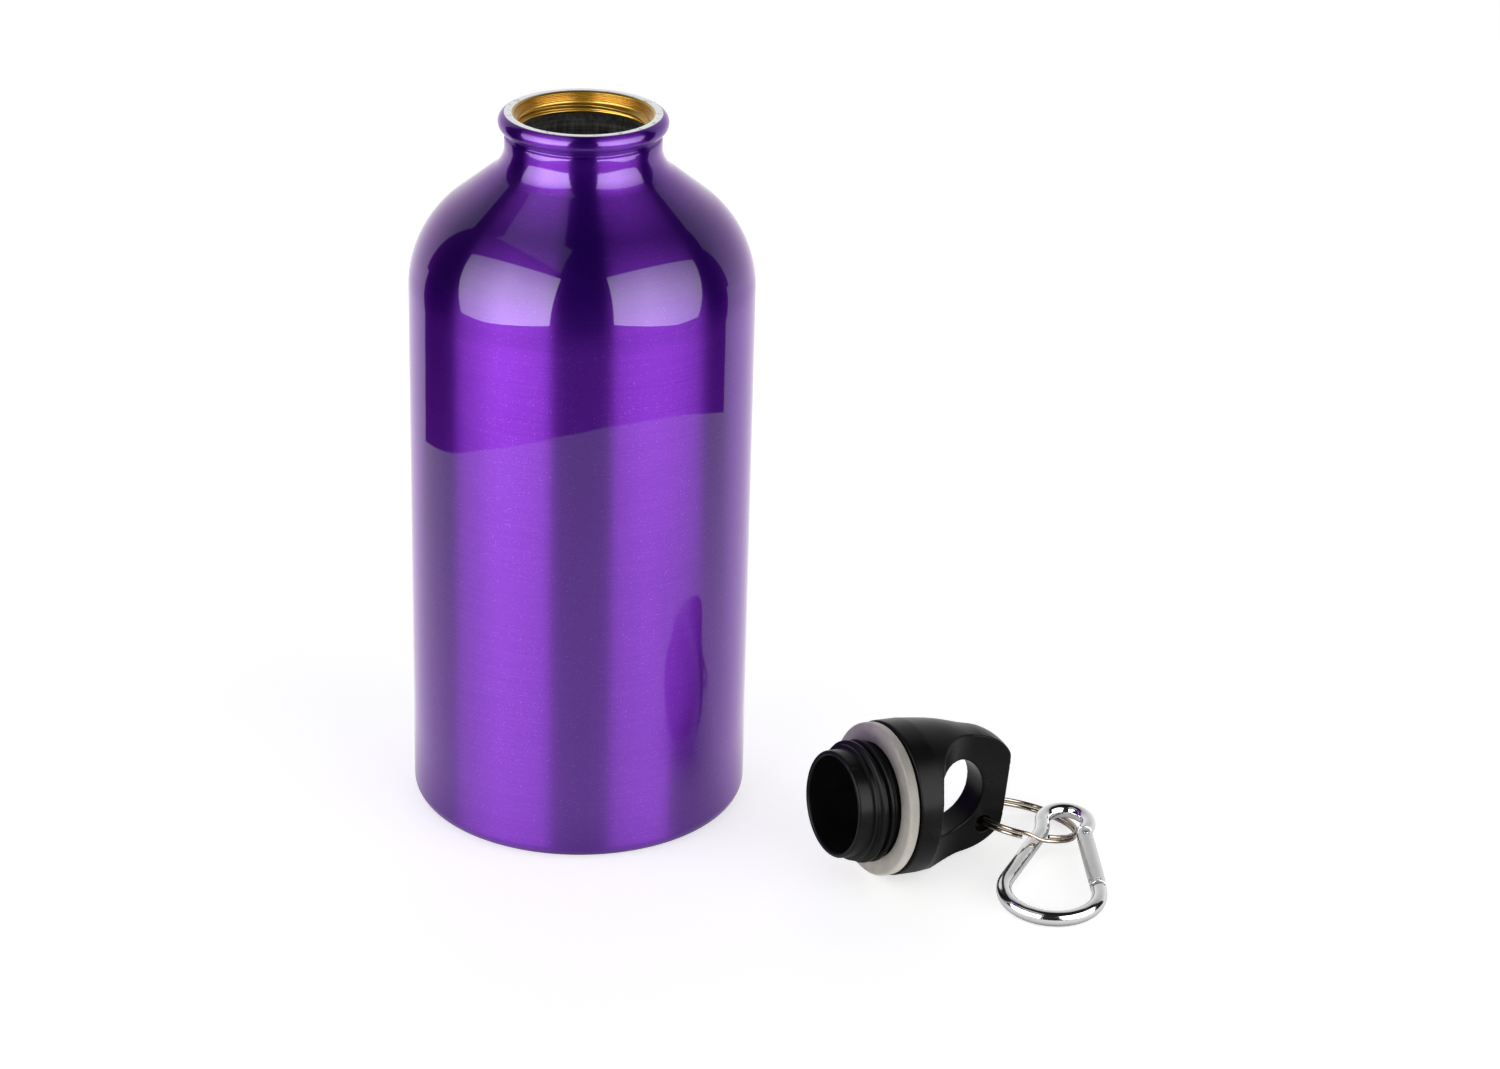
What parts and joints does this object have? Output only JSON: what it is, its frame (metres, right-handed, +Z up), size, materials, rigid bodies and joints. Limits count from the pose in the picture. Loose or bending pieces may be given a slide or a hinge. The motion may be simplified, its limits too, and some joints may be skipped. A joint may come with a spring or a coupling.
{
  "type": "aluminium water bottle",
  "caption": "Spun aluminium water bottle with a threaded mouth and a screw lid lying beside it, whose finger loop carries a split ring and a small spring-gate carabiner.",
  "frame": {"origin": "on the table at the bottle's axis, at the middle of the raised disc under its base, which is 0.8 mm above the table", "axes": "+Z up along the bottle's axis, towards its mouth; +X towards the side where the lid lies; +Y away from the side where the lid's plug points forward"},
  "size_m": [0.1362, 0.0873, 0.1407],
  "materials": {
    "lacquered_aluminium": "glossy clear violet lacquer over brushed metal, bare machined lip",
    "black_plastic": "satin moulded",
    "silicone": "smooth matte silicone",
    "nickel_steel": "polished warm nickel plate",
    "polished_aluminium": "polished",
    "satin_aluminium": "satin, lengthwise grain",
    "steel": "plain bright steel"
  },
  "bodies": {
    "bottle": {"bottle_body": "lacquered_aluminium"},
    "lid": {"lid_shell": "black_plastic", "threaded_plug": "black_plastic", "lid_gasket": "silicone"},
    "ring": {"split_ring": "nickel_steel"},
    "carabiner": {"carabiner_body": "polished_aluminium", "gate_hinge_rivet": "steel"},
    "gate": {"carabiner_gate": "satin_aluminium", "gate_latch_pin": "steel", "gate_plunger": "steel", "gate_spring": "steel"}
  },
  "joints": [
    {"name": "lid_carry", "type": "hinge", "parent": "bottle", "child": "lid", "pos_m": [-0.006, -0.07035, 0.09404], "axis": [0.7687, -0.5099, 0.3861], "range_deg": [0, 107.08]},
    {"name": "ring_swing", "type": "hinge", "parent": "lid", "child": "ring", "pos_m": [0.07874, -0.02213, 0.00619], "axis": [0.4826, -0.8759, 0], "range_deg": [-130, 0]},
    {"name": "carabiner_turn", "type": "hinge", "parent": "ring", "child": "carabiner", "pos_m": [0.09415, -0.02, 0.00382], "axis": [-0.3746, -0.927, 0.02], "range_deg": [0, 75]},
    {"name": "gate_hinge", "type": "hinge", "parent": "carabiner", "child": "gate", "pos_m": [0.10026, -0.0251, 0.00368], "axis": [0, 0.0768, -0.997], "range_deg": [0, 25], "stiffness_Nm_per_rad": 0.03}
  ],
  "couplings": [
    {"joint": "ring_swing", "follows": "lid_carry", "ratio": -1.2}
  ]
}
